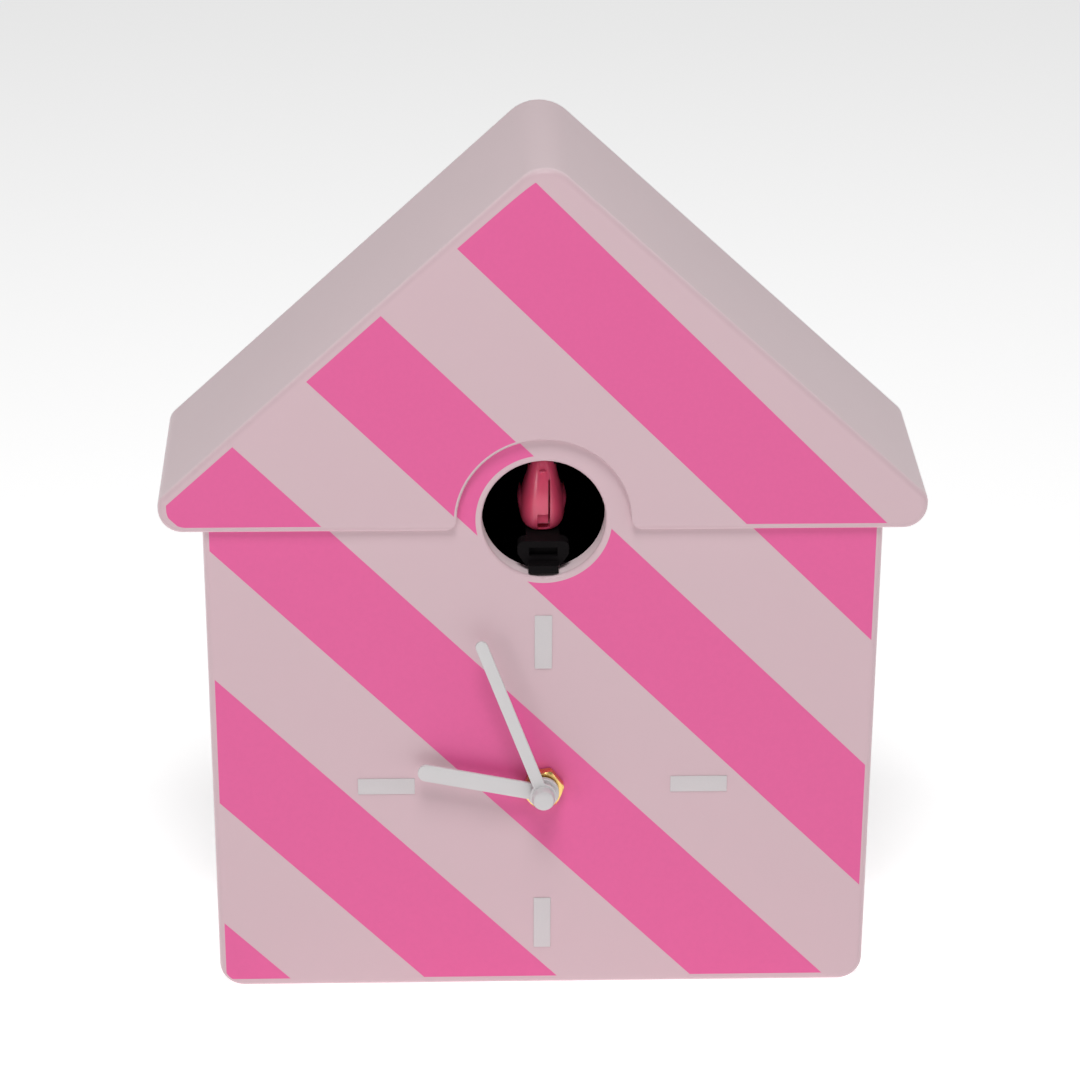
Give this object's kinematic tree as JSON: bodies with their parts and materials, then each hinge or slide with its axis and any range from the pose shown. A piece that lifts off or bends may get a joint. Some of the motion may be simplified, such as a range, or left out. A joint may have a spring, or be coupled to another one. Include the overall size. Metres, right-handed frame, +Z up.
{
  "type": "cuckoo clock",
  "caption": "House-shaped striped plastic cuckoo clock with two hands, bar marks and a bird that slides out of a round doorway.",
  "frame": {"origin": "middle of the base face, half way through the body's depth", "axes": "+Z up, -Y out of the dial, +X to the right seen from the front"},
  "size_m": [0.23, 0.0816, 0.264],
  "materials": {
    "shell_pink": "fine satin moulded shell, deep pink diagonal stripes printed on the front",
    "back_plastic": "satin moulded plastic, plain",
    "mark_white": "pearl white applied bars",
    "hand_white": "white painted aluminium",
    "cap_white": "white cap",
    "nut_brass": "turned brass",
    "washer_rubber": "rubber washer",
    "black_plastic": "black moulded plastic",
    "gear_nylon": "natural nylon",
    "steel_bright": "ground steel",
    "steel_zinc": "zinc plated steel",
    "magnet_steel": "plated magnet and stator iron",
    "copper_coil": "enamelled copper winding",
    "board_green": "solder-masked circuit board",
    "chip_black": "moulded chip",
    "cell_label": "printed cell jacket, no label",
    "bird_pink": "glossy pink-red moulded plastic",
    "bird_beak_red": "glossy moulded plastic",
    "cone_paper": "pressed paper cone",
    "knob_plastic": "black moulded plastic"
  },
  "bodies": {
    "housing": {"house_body": "shell_pink", "roof_shell": "shell_pink", "rear_cover": "back_plastic", "door_hinge_pins": "steel_bright", "cover_screws": "steel_zinc", "hanger_plate": "steel_zinc", "hanger_rivets": "steel_zinc", "dial_marks": "mark_white", "movement_case": "black_plastic", "movement_lid": "black_plastic", "threaded_bush": "nut_brass", "bush_washer": "washer_rubber", "hex_nut": "nut_brass", "train_bridge": "gear_nylon", "stator": "magnet_steel", "coil": "copper_coil", "movement_board": "board_green", "movement_cell": "cell_label", "movement_contacts": "steel_zinc", "cuckoo_chassis": "black_plastic", "bird_hood": "black_plastic", "chassis_screws": "steel_zinc", "guide_rods": "steel_bright", "cuckoo_motor": "steel_zinc", "speaker_basket": "black_plastic", "speaker_cone": "cone_paper", "speaker_magnet": "magnet_steel", "sound_board": "board_green", "sound_chip": "chip_black", "board_screws": "steel_zinc", "switch_housing": "steel_zinc", "button_base": "knob_plastic", "volume_pot": "knob_plastic", "battery_tray": "black_plastic", "tray_cells": "cell_label", "tray_contacts": "steel_zinc"},
    "minute": {"minute_arbor": "steel_bright", "minute_hand": "hand_white", "hand_cap": "cap_white"},
    "hour": {"hour_wheel": "gear_nylon", "hour_hand": "hand_white"},
    "motion": {"motion_wheel": "gear_nylon"},
    "knob": {"setting_knob": "knob_plastic"},
    "seconds": {"seconds_wheel": "gear_nylon"},
    "third": {"third_wheel": "gear_nylon"},
    "centre": {"centre_wheel": "gear_nylon"},
    "step": {"step_wheel": "gear_nylon"},
    "rotor": {"rotor": "magnet_steel"},
    "bird": {"bird_carriage": "black_plastic", "bird_left": "bird_pink", "bird_right": "bird_pink", "bird_beak": "bird_beak_red", "bird_wings": "bird_pink", "bird_tail": "bird_pink"},
    "drive": {"drive_gear": "gear_nylon"},
    "motor_shaft": {"motor_gear": "gear_nylon"},
    "door": {"battery_door": "back_plastic"},
    "slider": {"mode_slider": "knob_plastic"},
    "button": {"test_button": "knob_plastic"},
    "volume": {"volume_knob": "knob_plastic"}
  },
  "joints": [
    {"name": "minute_spin", "type": "hinge", "parent": "housing", "child": "minute", "pos_m": [0, -0.035, 0.0691], "axis": [0, 1, 0], "continuous": true},
    {"name": "hour_spin", "type": "hinge", "parent": "housing", "child": "hour", "pos_m": [0, -0.035, 0.0691], "axis": [0, 1, 0], "continuous": true},
    {"name": "motion_wheel_spin", "type": "hinge", "parent": "housing", "child": "motion", "pos_m": [0.01128, -0.027, 0.0732], "axis": [0, 1, 0], "continuous": true},
    {"name": "setting_knob_turn", "type": "hinge", "parent": "housing", "child": "knob", "pos_m": [0.01899, -0.017, 0.06401], "axis": [0, 1, 0], "continuous": true},
    {"name": "seconds_wheel_spin", "type": "hinge", "parent": "housing", "child": "seconds", "pos_m": [-0.00848, -0.023, 0.0852], "axis": [0, 1, 0], "continuous": true},
    {"name": "third_wheel_spin", "type": "hinge", "parent": "housing", "child": "third", "pos_m": [-0.0106, -0.025, 0.07522], "axis": [0, 1, 0], "continuous": true},
    {"name": "centre_wheel_spin", "type": "hinge", "parent": "housing", "child": "centre", "pos_m": [0, -0.027, 0.0691], "axis": [0, 1, 0], "continuous": true},
    {"name": "step_wheel_spin", "type": "hinge", "parent": "housing", "child": "step", "pos_m": [0.00027, -0.023, 0.0852], "axis": [0, 1, 0], "continuous": true},
    {"name": "rotor_spin", "type": "hinge", "parent": "housing", "child": "rotor", "pos_m": [0.00627, -0.025, 0.0852], "axis": [0, 1, 0], "continuous": true},
    {"name": "bird_slide", "type": "slide", "parent": "housing", "child": "bird", "axis": [0, -1, 0], "range_m": [0, 0.027]},
    {"name": "drive_gear_turn", "type": "hinge", "parent": "housing", "child": "drive", "pos_m": [0, -0.001, 0.115], "axis": [1, 0, 0], "range_deg": [0, 258.33]},
    {"name": "motor_turn", "type": "hinge", "parent": "housing", "child": "motor_shaft", "pos_m": [0.02, 0.015, 0.115], "axis": [1, 0, 0], "range_deg": [-774.99, 0]},
    {"name": "door_hinge", "type": "hinge", "parent": "housing", "child": "door", "pos_m": [-0.0374, 0.0314, 0.06], "axis": [0, 0, 1], "range_deg": [0, 110]},
    {"name": "mode_slide", "type": "slide", "parent": "housing", "child": "slider", "axis": [1, 0, 0], "range_m": [-0.004, 0.004]},
    {"name": "test_press", "type": "slide", "parent": "housing", "child": "button", "axis": [0, -1, 0], "range_m": [0, 0.0012], "stiffness_N_per_m": 400, "springref_m": -0.0008},
    {"name": "volume_turn", "type": "hinge", "parent": "housing", "child": "volume", "pos_m": [0.085, 0.0328, 0.138], "axis": [0, -1, 0], "range_deg": [-135, 135]}
  ],
  "couplings": [
    {"joint": "hour_spin", "follows": "minute_spin", "ratio": 0.083333},
    {"joint": "motion_wheel_spin", "follows": "minute_spin", "ratio": -0.33333},
    {"joint": "setting_knob_turn", "follows": "minute_spin", "ratio": 1},
    {"joint": "third_wheel_spin", "follows": "seconds_wheel_spin", "ratio": -0.13333},
    {"joint": "centre_wheel_spin", "follows": "seconds_wheel_spin", "ratio": 0.016667},
    {"joint": "step_wheel_spin", "follows": "seconds_wheel_spin", "ratio": -6},
    {"joint": "rotor_spin", "follows": "seconds_wheel_spin", "ratio": 30},
    {"joint": "drive_gear_turn", "follows": "bird_slide", "rad_per_m": 166.67},
    {"joint": "motor_turn", "follows": "bird_slide", "rad_per_m": -500}
  ]
}
